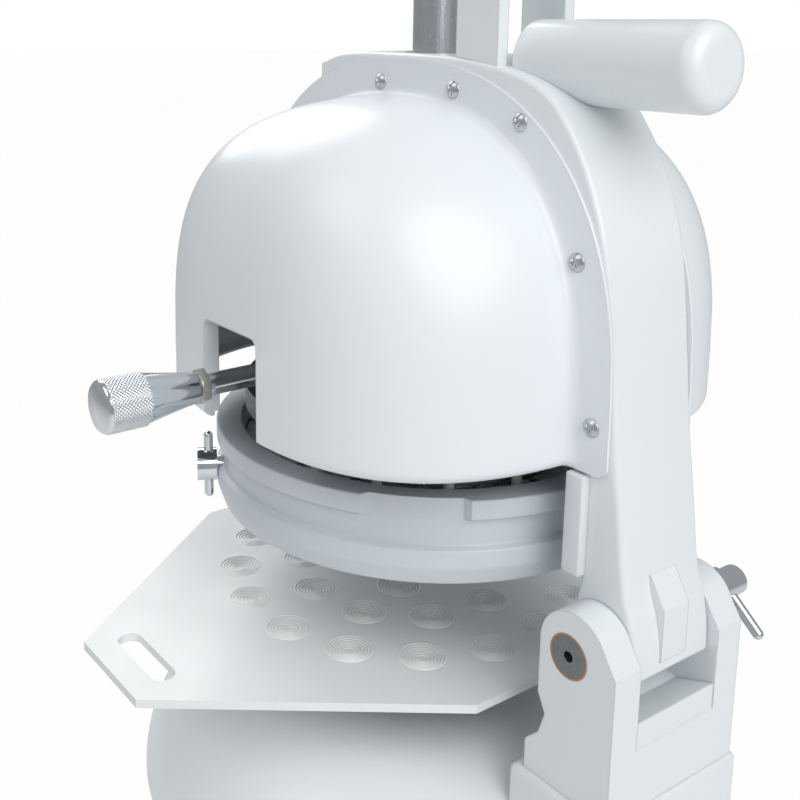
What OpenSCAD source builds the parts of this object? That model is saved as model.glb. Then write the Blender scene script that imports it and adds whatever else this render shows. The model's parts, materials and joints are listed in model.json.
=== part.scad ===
// Dough divider rounder: a floor-standing cabinet with an orbiting table and dimpled plate,
// and a tilting head that carries the chamber ring, the knife grid and the press die.
// Origin: underside of the plinth, below the chamber's axis. +Z up, -Y towards the operator.

/* [Stand] */
// Height of the rounding plate's top above the floor
plate_top = 850; // [820:5:900]
// Width of the plinth along X
plinth_w = 500; // [470:5:540]
// Depth of the plinth along Y
plinth_d = 600; // [570:5:640]
// Height of the plinth
plinth_h = 40; // [30:1:60]
// Thickness of the plinth's floor
plinth_floor = 8; // [6:0.5:12]
// Radius of each floor anchor hole
anchor_r = 7; // [5:0.5:9]
// Width of the cabinet along X
cabinet_w = 340; // [320:5:350]
// Depth of the cabinet along Y
cabinet_d = 380; // [360:5:390]
// Wall of the cabinet's sheet metal
cabinet_wall = 3; // [2:0.5:5]

/* [Body casting] */
// Radius of the round body casting
body_r = 252; // [248:1:256]
// Drop of the casting's top below the plate's top
body_drop = 48; // [46:1:54]
// Height of the casting
body_h = 120; // [110:1:130]
// Rounding of the casting's top edge
body_round = 36; // [24:1:44]
// Wall of the casting
body_wall = 12; // [10:1:16]
// Radius of the opening for the crank
well_r = 110; // [90:1:120]

/* [Rounding drive] */
// Throw of the crank that makes the table orbit
orbit_throw = 10; // [6:0.5:12]
// Distance of the plate's middle ahead of the chamber's axis
plate_ahead = 27; // [24:1:30]
// Radius of the crank shaft
crank_r = 15; // [12:0.5:18]
// Radius of the crank pin
crank_pin_r = 11; // [8:0.5:12]
// Radius of the rounding table
table_r = 165; // [150:1:175]
// Thickness of the rounding table
table_t = 12; // [8:1:14]
// Radius of the gear motor
motor_r = 75; // [60:1:90]
// Height of the gear motor
motor_h = 220; // [160:5:260]

/* [Rounding plate] */
// Length of the plate between its two grip ends, along X
plate_l = 592; // [570:1:610]
// Width of the plate along Y
plate_w = 392; // [376:1:396]
// Thickness of the plate
plate_t = 7; // [6:0.5:10]
// Width of each grip end
grip_end_w = 94; // [88:1:110]
// Length of the plate's full-width sides
plate_side_l = 184; // [160:1:200]
// Length of each hand slot
slot_l = 76; // [66:1:80]
// Width of each hand slot
slot_w = 20; // [16:0.5:24]
// Inset of each hand slot's middle from the grip end
slot_inset = 32; // [26:1:38]
// Radius of the outer ring of dimples
outer_ring_r = 150; // [144:1:154]
// Radius of the middle ring of dimples
mid_ring_r = 92; // [88:1:96]
// Radius of the inner ring of dimples
inner_ring_r = 40; // [36:1:42]
// Radius of each dimple
dimple_r = 18.5; // [15:0.5:21]
// Depth of each dimple
dimple_depth = 2.5; // [1.5:0.5:4]
// Number of steps in each dimple
dimple_steps = 6; // [4:1:7]

/* [Hinge] */
// Height of the hinge pin above the plate's top
hinge_up = 64; // [62:1:68]
// Distance of the hinge pin behind the chamber's axis
hinge_y = 232; // [230:1:236]
// Radius of the hinge pin
hinge_pin_r = 15; // [12:0.5:17]
// Wall of each hinge bush
bush_wall = 1.5; // [1.5:0.5:4]
// Outer half width of the clevis
clevis_half = 69; // [64:1:76]
// Half width of the arm
arm_half = 41.5; // [39:0.5:43]
// Radius of the ears round the pin
ear_r = 30; // [28:0.5:31]
// Side clearance of the arm in the clevis
hinge_side_gap = 1; // [0.5:0.1:1.5]
// Radius of the hinge lock knob
lock_r = 11.5; // [9:0.5:13]
// Length of the hinge lock knob
lock_l = 52; // [44:1:60]

/* [Chamber ring] */
// Height of the ring's top above the plate's top
ring_up = 157.5; // [155:0.5:160]
// Height of the ring
ring_h = 67.5; // [64:0.5:69]
// Outer radius of the ring's flanges
ring_r = 183; // [180:0.5:185]
// Inner radius of the ring
ring_bore_r = 161; // [159:0.5:163]
// Depth of the groove between the flanges
ring_groove = 6; // [3:0.5:8]
// Height of the upper flange
ring_flange_h = 16; // [14:0.5:19]
// Angle where the upper flange's notch starts
notch_from = 34; // [32:0.5:36]
// Angle that the notch spans
notch_turn = 25.5; // [20:0.5:30]
// Radius of each clamp screw's head
clamp_r = 14; // [11:0.5:15]
// Angle of the clamp screws ahead of the side
clamp_angle = 29; // [26:1:32]
// Radius of each guide rod
guide_rod_r = 8; // [6:0.5:9]

/* [Knives and press] */
// Thickness of the knife blades
blade_t = 2; // [1.5:0.5:3]
// Clearance of the press pads from the blades
pad_gap = 1.5; // [1:0.1:2.5]
// Thickness of each press pad
pad_t = 14; // [12:1:15]
// Radius of the press die's plate
die_r = 158; // [154:1:159]
// Radius of the press spindle
spindle_r = 18; // [15:0.5:20]

/* [Covers] */
// Radius of each dome cover
dome_r = 216; // [212:1:220]
// Middle of the domes behind the chamber's axis
dome_y = 12; // [10:1:14]
// Height of the domes' rim above the plate's top
rim_up = 188; // [186:1:190]
// Height of the domes' upright wall
dome_wall_h = 114; // [108:1:118]
// Radius of the domes' shoulder
dome_round = 135; // [130:1:138]
// Wall of each cover
cover_t = 4; // [3:0.5:5]
// Thickness of each cover's flange
flange_t = 3; // [2.5:0.5:4]
// Width of the handle's slot in the near cover
cover_slot_w = 76; // [66:1:80]
// Height of the handle's slot above the rim
cover_slot_h = 76; // [72:1:82]
// Radius of each cover screw's head
screw_head_r = 8; // [6:0.5:8.5]

/* [Ring handle] */
// Height of the ring handle above the plate's top
handle_up = 225; // [222:1:228]
// Radius of the handle's rod
rod_r = 8.5; // [7:0.5:9.5]
// Width of the lock nut across its flats
nut_af = 24; // [22:0.5:27]
// Length of the chrome grip
grip_l = 79; // [74:1:88]
// Radius of the chrome grip at its outer end
grip_r = 20.5; // [17:0.5:23]
// Distance of the grip's end from the chamber's axis
grip_reach = 308; // [300:1:320]

/* [Press lever] */
// Height of the lever's pivot above the arm
pivot_up = 122; // [118:1:126]
// Distance of the lever's pivot behind the spindle
pivot_y = 90; // [88:1:92]
// Length of the lever
lever_l = 480; // [420:5:540]
// Angle of the lever above the horizon at rest
lever_angle = 75; // [72:1:78]
// Angle of the lever's fork above the horizon at rest
fork_angle = 32; // [31:0.5:33]
// Radius of the lever's bar
lever_r = 14; // [11:0.5:16]
// Radius of the spring housing behind the arm
spring_r = 30; // [26:0.5:32]

/* [Hidden] */
$fn = 96;
eps = 0.01;
fit = 0.05;
running = 0.3;

hinge_z = plate_top + hinge_up;
ring_top = plate_top + ring_up;
ring_bottom = ring_top - ring_h;
rim_z = plate_top + rim_up;
shoulder_z = rim_z + dome_wall_h;
crown_z = shoulder_z + dome_round;
handle_z = plate_top + handle_up;
body_top = plate_top - body_drop;
body_base = body_top - body_h;
table_top = plate_top - plate_t;
table_base = table_top - table_t;
crank_y = orbit_throw - plate_ahead;
arm_top = plate_top + 468;
arm_under = plate_top + 375;
pivot_z = arm_top + pivot_up;
spring_y = 118;
spring_z = crown_z + 28;
spring_l = 140;
spindle_pin_z = pivot_z + pivot_y * tan(fork_angle);
lip_h = 4;
notch_depth = ring_groove - 0.5;
clamp_l = 17;
clamp_bar_out = 7.5;
nut_l = 7;
block_half = arm_half + 7;
blade_base = ring_bottom + lip_h;
blade_top = ring_top - 16;
pad_top = blade_top - 2;
die_base = ring_top + 13.5;
die_t = 20;
spider_z = plate_top + 258;
spider_t = 20;
rod_top = plate_top + 375;
guide_rod_ring = (ring_r + ring_bore_r) / 2;
rod_angles = [135, 225];
spider_bar_w = 36;
spider_reach = guide_rod_ring + 16;
pad_x = clevis_half + 6;
foot_z = body_top + 4;
pad_h = body_round + 4;
ear_y = hinge_y + 4;
ear_up = hinge_up + 4;
bolt_rows = [206, 263];
ledge_z = body_base + 60;
hub_h = 70;
motor_drop = 110;
motor_plate_z = body_base - motor_drop;
motor_plate_d = cabinet_d - 120;
mid_blade_r = (outer_ring_r + mid_ring_r) / 2;
inner_blade_r = (mid_ring_r + inner_ring_r) / 2;
hoop_t = 1.7;
hoop_r = ring_bore_r - running;
panel_w = cabinet_w - 80;
panel_z = 90;
box_w = 160;
box_d = 50;
box_h = 110;
box_below_body = 47;
box_z = body_base - box_below_body - box_h;
panel_h = box_z - 30 - panel_z;
slot_x = plate_l / 2 - slot_inset;

// Side outline of the arm above its hinge boss, as [y, height above the plate]
arm_side = [[232, 64], [268, 72], [253.5, 113], [238, 215], [232, 266], [222, 338], [205, 388],
  [185, 422], [162, 446], [128, 459], [80, 466], [40, 468], [-60, 468], [-100, 460],
  [-100, 375], [60, 375], [112, 368], [148, 340], [170, 290], [184, 245],
  [208, 205], [215, 165], [215, 107], [226, 97]];
// Outer edge of the covers' flange
flange_side = [[243.5, 194], [234, 246], [219, 338], [202, 386], [160, 444], [126, 455], [78, 461],
  [0, 463], [-60, 461], [-96, 452], [-136, 426], [-172, 378], [-190, 330], [-200, 246], [-203, 194]];
// Side of the rib that carries the covers at the front
rib_side = [[-100, 446], [-138, 422], [-172, 376], [-190, 330], [-200, 246], [-203, 194], [-176, 194],
  [-166, 280], [-156, 330], [-136, 368], [-100, 404]];
// Section of the domes at the flange
dome_side = [[210, 180], [206, 222], [197, 280], [186, 334], [165, 378], [133, 412], [76, 427],
  [0, 430], [-60, 427], [-105, 412], [-140, 378], [-162, 334], [-172, 280], [-180, 222], [-182, 180]];
// Places of the screws that hold each cover, as [y, height above the plate]
screw_side = [[220, 222], [200, 334], [142, 424], [72, 443], [-14, 445], [-182, 290]];

// Rectangle with rounded corners, centred on the origin
module rounded(w, d, r) {
  square([w - 2 * r, d], center = true);
  square([w, d - 2 * r], center = true);
  for (x = [-1, 1], y = [-1, 1]) translate([x * (w / 2 - r), y * (d / 2 - r)]) circle(r);
}

// Sheet in the YZ plane from x0, t thick along X
module side_plate(x0, t) {
  translate([x0, 0, plate_top]) rotate([90, 0, 90]) linear_extrude(t) children();
}

// Cylinder along X from x0
module bar_x(x0, y, z, r, l) {
  translate([x0, y, z]) rotate([0, 90, 0]) cylinder(r = r, h = l);
}

module plinth() color("#5b6064") difference() {
  linear_extrude(plinth_h) rounded(plinth_w, plinth_d, 40);
  translate([0, 0, plinth_floor]) linear_extrude(plinth_h) rounded(cabinet_w - 30, cabinet_d - 30, 20);
  for (x = [-1, 1], y = [-1, 1])
    translate([x * (plinth_w / 2 - 30), y * (plinth_d / 2 - 30), -1])
      cylinder(r = anchor_r, h = plinth_h + 2);
}

module cabinet_shell() color("#e9ebec") difference() {
  translate([0, 0, plinth_h]) linear_extrude(body_base - plinth_h) rounded(cabinet_w, cabinet_d, 50);
  translate([0, 0, plinth_h - 1]) linear_extrude(body_base)
    rounded(cabinet_w - 2 * cabinet_wall, cabinet_d - 2 * cabinet_wall, 50 - cabinet_wall);
  translate([-panel_w / 2 + 15, -cabinet_d / 2 - 1, panel_z + 15])
    cube([panel_w - 30, cabinet_wall + 2, panel_h - 30]);
  for (x = [-1, 1], z = [0, 1]) panel_screw_at(x, z) cylinder(r = 2.5 + fit, h = 20, center = true);
  translate([80, cabinet_d / 2, 130]) rotate([90, 0, 0]) cylinder(r = 9 + fit, h = 20, center = true);
}

// Places its child on a corner of the service panel, looking out of the front
module panel_screw_at(x, z) {
  translate([x * (panel_w / 2 - 7), -cabinet_d / 2, panel_z + 30 + z * (panel_h - 60)])
    rotate([90, 0, 0]) children();
}

module service_panel() color("#d9dcde") difference() {
  translate([-panel_w / 2, -cabinet_d / 2 - 3, panel_z]) cube([panel_w, 3, panel_h]);
  for (x = [-1, 1], z = [0, 1]) panel_screw_at(x, z) cylinder(r = 2.5 + fit, h = 20, center = true);
}

module panel_screws() color("#b9bec2") for (x = [-1, 1], z = [0, 1]) panel_screw_at(x, z) {
  translate([0, 0, 3]) cylinder(r = 5.5, h = 2.5);
  translate([0, 0, -8]) cylinder(r = 2.5, h = 11);
}

module control_box() color("#e9ebec") translate([0, -cabinet_d / 2, box_z]) difference() {
  translate([-box_w / 2, -box_d, 0]) cube([box_w, box_d, box_h]);
  translate([-box_w / 2 + 3, -box_d + 3, 3]) cube([box_w - 6, box_d - 6, box_h - 6]);
  for (x = [-40, 40]) translate([x, -box_d, box_h / 2]) rotate([90, 0, 0])
    cylinder(r = 9 + running, h = 20, center = true);
}

// Button on the control box, with its stem reaching inside
module button(x, cap_r, cap_h) translate([x, -cabinet_d / 2 - box_d, box_z + box_h / 2])
  rotate([90, 0, 0]) {
  translate([0, 0, 5]) cylinder(r = cap_r, h = cap_h);
  translate([0, 0, -20]) cylinder(r = 9, h = 26);
}

module start_button() color("#2f8f4e") button(-40, 14, 6);
module stop_button() color("#c3262b") button(40, 18, 10);

module cable_gland() color("#3a3d40") translate([80, cabinet_d / 2, 130]) rotate([-90, 0, 0]) difference() {
  union() {
    translate([0, 0, -12]) cylinder(r = 9, h = 14);
    cylinder(r = 13, h = 8);
    translate([0, 0, 8]) cylinder(r1 = 12, r2 = 9, h = 12);
  }
  translate([0, 0, -13]) cylinder(r = 5, h = 40);
}

module motor_plate() color("#8a9094") difference() {
  translate([0, 0, motor_plate_z]) linear_extrude(12)
    square([cabinet_w - 2 * cabinet_wall, motor_plate_d], center = true);
  translate([0, crank_y, motor_plate_z - 1]) cylinder(r = 30, h = 20);
}

module gear_motor() color("#56697a") translate([0, crank_y, motor_plate_z]) difference() {
  union() {
    translate([0, 0, -motor_h]) cylinder(r = motor_r, h = motor_h - 12);
    translate([0, 0, -12]) cylinder(r = motor_r + 18, h = 12);
    cylinder(r = 28, h = 18);
  }
  translate([0, 0, -40]) cylinder(r = crank_r + fit, h = 80);
}

module body_casting() color("#f1f3f4") difference() {
  union() {
    translate([0, 0, body_base]) difference() {
      union() {
        cylinder(r = body_r, h = body_h - body_round);
        translate([0, 0, body_h - body_round]) rotate_extrude() translate([body_r - body_round, 0])
          circle(body_round);
        cylinder(r = body_r - body_round, h = body_h);
      }
      translate([0, 0, 10]) cylinder(r = body_r - body_wall, h = body_h - body_round - 10);
      translate([0, 0, -1]) cylinder(r = cabinet_w / 2 - 25, h = 20);
      translate([0, 0, 9]) cylinder(r = body_r - body_round - body_wall, h = body_h - 9 - body_wall);
      translate([0, 0, -1]) cylinder(r = well_r, h = body_h + 2);
    }
    translate([0, 0, ledge_z - 10]) difference() {
      cylinder(r = body_r - body_wall + 1, h = 10);
      translate([0, 0, -1]) cylinder(r = body_r - body_wall - 18, h = 12);
    }
    translate([-pad_x, 186, foot_z - pad_h]) cube([2 * pad_x, 90, pad_h]);
  }
  for (x = [-1, 1], y = bolt_rows) translate([x * 54, y, foot_z - 60]) cylinder(r = 6 + fit, h = 70);
}

module bearing_housing() color("#6d7377") translate([0, 0, ledge_z]) difference() {
  union() {
    cylinder(r = body_r - body_wall - running, h = 10);
    translate([0, crank_y, -hub_h / 2 - 12]) cylinder(r = 42, h = hub_h);
  }
  translate([0, crank_y, -hub_h]) cylinder(r = 28 + fit, h = 2 * hub_h);
  for (a = [0 : 60 : 300]) rotate(a) translate([165, 0, -1]) cylinder(r = 60, h = 12);
}

module shaft_bearings() color("#a9afb4") translate([0, crank_y, ledge_z - hub_h / 2 - 12])
  for (z = [2, hub_h - 20]) translate([0, 0, z]) difference() {
    cylinder(r = 28, h = 18);
    translate([0, 0, -1]) cylinder(r = crank_r + fit, h = 20);
  }

module crank_shaft() color("#9aa1a6") {
  translate([0, crank_y, motor_plate_z - 38]) cylinder(r = crank_r, h = body_top - 22 - motor_plate_z + 38);
  translate([0, crank_y, body_top - 22]) cylinder(r = 36, h = 14);
  translate([0, -plate_ahead, body_top - 9]) cylinder(r = crank_pin_r, h = table_base + 6 - body_top + 9);
}

module rounding_table() color("#aeb4b8") translate([0, -plate_ahead, 0]) difference() {
  union() {
    translate([0, 0, table_base]) cylinder(r = table_r, h = table_t);
    translate([0, 0, body_top - 6]) cylinder(r = 24, h = table_base - body_top + 7);
  }
  translate([0, 0, body_top - 7]) cylinder(r = crank_pin_r + fit, h = table_base + 7 - body_top + 7);
}

// One dimple: a dish of shallow steps sunk into the plate's top
module dimple() for (i = [0 : dimple_steps - 1]) translate([0, 0, -dimple_depth * (i + 1) / dimple_steps])
  cylinder(r = dimple_r * (1 - i / (dimple_steps + 0.7)), h = dimple_depth + 1, $fn = 48);

module rounding_plate() color("#eff0ea") translate([0, -plate_ahead, table_top]) difference() {
  linear_extrude(plate_t) difference() {
    polygon([[plate_l / 2, -grip_end_w / 2], [plate_l / 2, grip_end_w / 2], [plate_side_l / 2, plate_w / 2],
      [-plate_side_l / 2, plate_w / 2], [-plate_l / 2, grip_end_w / 2], [-plate_l / 2, -grip_end_w / 2],
      [-plate_side_l / 2, -plate_w / 2], [plate_side_l / 2, -plate_w / 2]]);
    for (s = [-1, 1]) translate([s * slot_x, 0]) rounded(slot_w, slot_l, slot_w / 2 - eps);
  }
  translate([0, 0, plate_t]) {
    for (a = [0 : 15]) rotate(11.25 + 22.5 * a) translate([outer_ring_r, 0]) dimple();
    for (a = [0 : 9]) rotate(29.7 + 36 * a) translate([mid_ring_r, 0]) dimple();
    for (a = [0 : 3]) rotate(46 + 90 * a) translate([inner_ring_r, 0]) dimple();
  }
}

module hinge_bracket() color("#f1f3f4") difference() {
  union() {
    for (x = [-clevis_half, arm_half + hinge_side_gap])
      side_plate(x, clevis_half - arm_half - hinge_side_gap) {
      polygon([[196, foot_z - plate_top], [273, foot_z - plate_top], [273, 66],
        [ear_y + ear_r * cos(42), ear_up + ear_r * sin(42)], [ear_y, ear_up], [ear_y - ear_r, ear_up],
        [ear_y - ear_r, 24], [ear_y - ear_r + 10, 4], [ear_y - ear_r + 2, -8], [196, -20]]);
      translate([ear_y, ear_up]) circle(ear_r);
    }
    side_plate(-clevis_half, 2 * clevis_half)
      polygon([[196, foot_z - plate_top], [273, foot_z - plate_top], [273, 4], [216, 18], [208, -8],
        [196, -20]]);
  }
  bar_x(-100, hinge_y, hinge_z, hinge_pin_r + bush_wall + fit, 200);
  for (x = [-1, 1], y = bolt_rows) translate([x * 54, y, foot_z - 1]) cylinder(r = 6 + fit, h = 31);
}

module bracket_bolts() color("#8f959a") for (x = [-1, 1], y = bolt_rows)
  translate([x * 54, y, foot_z - pad_h]) {
  translate([0, 0, -12]) cylinder(r = 9, h = 12);
  cylinder(r = 6, h = pad_h + 28);
}

module hinge_bushes() color("#b87947") for (x = [-clevis_half, arm_half + hinge_side_gap]) difference() {
  bar_x(x, hinge_y, hinge_z, hinge_pin_r + bush_wall, clevis_half - arm_half - hinge_side_gap);
  bar_x(x - 1, hinge_y, hinge_z, hinge_pin_r + fit, clevis_half);
}

module hinge_pin() color("#b4babe") difference() {
  bar_x(-clevis_half, hinge_y, hinge_z, hinge_pin_r, 2 * clevis_half);
  bar_x(clevis_half - 8, hinge_y, hinge_z, 4, 10);
  bar_x(-clevis_half - 1, hinge_y, hinge_z, 8 + fit, 31);
}

module lock_knob() color("#d3d8dc") difference() {
  union() {
    bar_x(-clevis_half - lock_l, hinge_y, hinge_z, lock_r, lock_l - running);
    bar_x(-clevis_half - 1, hinge_y, hinge_z, 8, 27);
  }
  translate([-clevis_half - lock_l + 14, hinge_y, hinge_z]) rotate([50, 0, 0])
    cylinder(r = 4.25 + fit, h = 60, center = true);
}

module lock_bar() color("#d3d8dc") translate([-clevis_half - lock_l + 14, hinge_y, hinge_z])
  rotate([50, 0, 0]) {
  translate([0, 0, -42]) cylinder(r = 4.25, h = 52);
  for (z = [-42, 10]) translate([0, 0, z]) sphere(4.25);
}

module head_arm() color("#f4f6f7") difference() {
  union() {
    side_plate(-arm_half, 2 * arm_half) {
      polygon(arm_side);
      translate([hinge_y, hinge_up]) circle(38);
    }
    translate([-27, 236, plate_top + 52]) cube([41, 31, 67]);
    translate([-block_half, 203, plate_top + 111]) cube([2 * block_half, 16, 75]);
  }
  bar_x(-100, hinge_y, hinge_z, hinge_pin_r + fit, 200);
  translate([0, 0, arm_under - 1]) cylinder(r = spindle_r + 6 + fit, h = 200);
  translate([0, spring_y, spring_z]) rotate([-90, 0, 0]) cylinder(r = spring_r + running, h = 200);
  for (s = [-1, 1]) screws_at(s) translate([0, 0, -12]) cylinder(r = 3 + fit, h = 20);
}

// Places its child on every cover screw of one side, pointing outward; s picks the side
module screws_at(s) for (p = screw_side)
  translate([s * arm_half, p[0], plate_top + p[1]]) rotate([0, s * 90, 0]) children();

module front_rib() color("#f4f6f7") difference() {
  side_plate(-arm_half, 2 * arm_half)
    polygon(rib_side);
  for (s = [-1, 1]) screws_at(s) translate([0, 0, -12]) cylinder(r = 3 + fit, h = 20);
}

// Solid dome on its axis, shrunk all round by d
module dome_solid(d) translate([0, dome_y, 0]) {
  translate([0, 0, rim_z - (d > 0 ? 1 : 0)]) cylinder(r = dome_r - d, h = dome_wall_h + (d > 0 ? 1 : 0));
  translate([0, 0, shoulder_z]) rotate_extrude() {
    translate([dome_r - dome_round, 0]) intersection() {
      circle(dome_round - d);
      square(dome_round);
    }
    square([dome_r - dome_round + eps, dome_round - d]);
  }
}

module cover_half() difference() {
  union() {
    difference() {
      intersection() {
        dome_solid(0);
        side_plate(arm_half, 400) polygon(dome_side);
      }
      intersection() {
        dome_solid(cover_t);
        side_plate(arm_half - 1, 400)
          polygon([for (p = dome_side) [dome_y + (p[0] - dome_y) * (1 - cover_t / 190),
            p[1] - (p[1] > 400 ? cover_t : 0)]]);
      }
    }
    difference() {
      side_plate(arm_half, flange_t) polygon(flange_side);
      side_plate(arm_half - 1, 20)
        polygon([for (p = dome_side) [dome_y + (p[0] - dome_y) * (1 - cover_t / 190),
          p[1] - (p[1] > 400 ? cover_t : 0)]]);
    }
  }
  screws_at(1) translate([0, 0, -1]) cylinder(r = 3 + running, h = 10);
}

module cover_near() color("#f7f9fa") difference() {
  cover_half();
  translate([120, dome_y, rim_z - 1]) rotate([90, 0, 90]) linear_extrude(200) {
    translate([-cover_slot_w / 2, 0]) square([cover_slot_w, cover_slot_h - 12]);
    translate([-cover_slot_w / 2 + 12, 0]) square([cover_slot_w - 24, cover_slot_h]);
    for (s = [-1, 1]) translate([s * (cover_slot_w / 2 - 12), cover_slot_h - 12]) circle(12);
  }
}

module cover_far() color("#f7f9fa") mirror([1, 0, 0]) cover_half();

module cover_screws() color("#c9ced2") for (s = [-1, 1]) screws_at(s) {
  translate([0, 0, flange_t]) cylinder(r1 = screw_head_r, r2 = screw_head_r - 2.5, h = 3);
  translate([0, 0, -10]) cylinder(r = 3, h = flange_t + 10);
}

module spindle_bush() color("#b87947") translate([0, 0, arm_under]) difference() {
  cylinder(r = spindle_r + 6, h = arm_top - arm_under);
  translate([0, 0, -1]) cylinder(r = spindle_r + fit, h = arm_top - arm_under + 2);
}

module guide_spider() color("#7d8388") difference() {
  translate([0, 0, spider_z]) {
    linear_extrude(spider_t) {
      for (a = rod_angles) rotate(a) translate([0, -spider_bar_w / 2]) square([spider_reach, spider_bar_w]);
      circle(60);
    }
    cylinder(r = 40, h = arm_under - spider_z);
  }
  translate([0, 0, spider_z - 1]) cylinder(r = spindle_r + running, h = 200);
  for (a = rod_angles) rotate(a) translate([guide_rod_ring, 0, spider_z - 1])
    cylinder(r = guide_rod_r + fit, h = 50);
}

module lever_posts() color("#f4f6f7") difference() {
  for (x = [-39, 29]) side_plate(x, 10) {
    translate([pivot_y - 22, arm_top - plate_top - 8]) square([44, pivot_up + 8]);
    translate([pivot_y, pivot_z - plate_top]) circle(22);
  }
  side_plate(-100, 200) polygon(arm_side);
  bar_x(-60, pivot_y, pivot_z, 10 + fit, 120);
}

module lever_pin() color("#b4babe") {
  bar_x(-43, pivot_y, pivot_z, 10, 86);
  bar_x(-47, pivot_y, pivot_z, 15, 4);
}

module spring_housing() color("#f7f9fa") translate([0, spring_y, spring_z]) rotate([-90, 0, 0]) {
  cylinder(r = spring_r, h = spring_l);
  translate([0, 0, spring_l]) rotate_extrude() {
    square([spring_r - 12, 12]);
    translate([spring_r - 12, 0]) intersection() {
      circle(12);
      square(12);
    }
  }
}

module chamber_ring() color("#eef1f5") difference() {
  union() {
    translate([0, 0, ring_bottom]) rotate_extrude()
      polygon([[ring_bore_r, 0], [ring_r - 10, 0], [ring_r, 10],
      [ring_r, ring_h - ring_flange_h - 22], [ring_r - ring_groove, ring_h - ring_flange_h - 20],
      [ring_r - ring_groove, ring_h - ring_flange_h], [ring_r, ring_h - ring_flange_h],
        [ring_r, ring_h - 2],
      [ring_r - 2, ring_h], [ring_bore_r, ring_h]]);
    translate([0, 0, ring_bottom]) difference() {
      cylinder(r = ring_bore_r + 1, h = lip_h);
      translate([0, 0, -1]) cylinder(r = ring_bore_r - 4, h = lip_h + 2);
    }
  }
  rotate(notch_from) translate([0, 0, ring_top - ring_flange_h - 1]) rotate_extrude(angle = notch_turn)
    translate([ring_r - notch_depth, 0]) square([notch_depth + 1, ring_flange_h + 2]);
  for (a = rod_angles) rotate(a) translate([guide_rod_ring, 0, ring_top - 16])
    cylinder(r = guide_rod_r + fit, h = 30);
  for (a = [-clamp_angle, 180 + clamp_angle]) clamp_at(a) translate([0, 0, -30])
    cylinder(r = 7 + fit, h = 60);
}

// Places its child on the ring's side at angle a, pointing outward
module clamp_at(a) rotate(a) translate([ring_r, 0, ring_bottom + 27]) rotate([0, 90, 0]) children();

module knife_grid() color("#c3c8cc") translate([0, 0, blade_base]) linear_extrude(blade_top - blade_base) {
  for (r = [hoop_r, mid_blade_r + blade_t / 2, inner_blade_r + blade_t / 2]) difference() {
    circle(r);
    circle(r - (r == hoop_r ? hoop_t : blade_t));
  }
  for (a = [0 : 15]) rotate(22.5 * a) translate([mid_blade_r, -blade_t / 2])
    square([hoop_r - hoop_t / 2 - mid_blade_r, blade_t]);
  for (a = [0 : 9]) rotate(11.7 + 36 * a)
    translate([inner_blade_r, -blade_t / 2]) square([mid_blade_r - inner_blade_r, blade_t]);
  for (a = [0, 90]) rotate(a + 1) square([2 * inner_blade_r, blade_t], center = true);
}

module guide_rods() color("#c3c8cc") for (a = rod_angles) rotate(a)
  translate([guide_rod_ring, 0, ring_top - 15]) cylinder(r = guide_rod_r, h = rod_top - ring_top + 15);

module handle_rod() color("#d3d8dc") bar_x(24, 0, handle_z, rod_r, grip_reach - grip_l + 20 - 24);

module grip_nut() color("#c8b67a") difference() {
  translate([grip_reach - grip_l - nut_l, 0, handle_z]) rotate([0, 90, 0])
    cylinder(r = nut_af / sqrt(3), h = nut_l, $fn = 6);
  bar_x(grip_reach - grip_l - 30, 0, handle_z, rod_r + fit, 60);
}

module handle_grip() color("#d9dee2") difference() {
  translate([grip_reach - grip_l, 0, handle_z]) rotate([0, 90, 0]) rotate_extrude()
    polygon([[0, 0], [11, 0], [12, 1], [grip_r - 1, grip_l * 0.62], [grip_r, grip_l * 0.66],
      [grip_r, grip_l - 3],
      [grip_r - 3, grip_l], [0, grip_l]]);
  bar_x(grip_reach - grip_l - 1, 0, handle_z, rod_r + fit, 22);
}

module clamp_head() difference() {
  union() {
    translate([0, 0, running]) cylinder(r = clamp_r, h = clamp_l);
    translate([0, 0, -20]) cylinder(r = 7, h = 22);
  }
  translate([0, 0, clamp_bar_out]) rotate([0, 90, 0]) cylinder(r = 4 + fit, h = 60, center = true);
}

module clamp_bar() translate([0, 0, clamp_bar_out]) rotate([0, 90, 0]) {
  cylinder(r = 4, h = 52, center = true);
  for (s = [-26, 26]) translate([0, 0, s]) sphere(4);
}

module clamp_near() color("#d3d8dc") clamp_at(-clamp_angle) clamp_head();
module clamp_near_bar() color("#d3d8dc") clamp_at(-clamp_angle) clamp_bar();
module clamp_far() color("#d3d8dc") clamp_at(180 + clamp_angle) clamp_head();
module clamp_far_bar() color("#d3d8dc") clamp_at(180 + clamp_angle) clamp_bar();

module press_die() color("#b6bcc0") difference() {
  translate([0, 0, die_base]) {
    cylinder(r = die_r, h = die_t);
    cylinder(r = 34, h = handle_z + 16 - die_base);
  }
  bar_x(22, 0, handle_z, rod_r + fit, 40);
  translate([0, 0, die_base - 1]) cylinder(r = spindle_r + fit, h = handle_z + 18 - die_base);
  for (p = stem_places()) translate([p[0], p[1], die_base - 1]) cylinder(r = 4 + fit, h = 13);
}

// Middles of the press pads, one for each dimple
function stem_places() = concat(
  [for (a = [0 : 15]) let (t = 11.25 + 22.5 * a) [140 * cos(t), 140 * sin(t)]],
  [for (a = [0 : 9]) let (t = 29.7 + 36 * a) [mid_ring_r * cos(t), mid_ring_r * sin(t)]],
  [for (a = [0 : 3]) let (t = 46 + 90 * a) [inner_ring_r * cos(t), inner_ring_r * sin(t)]]);

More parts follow.
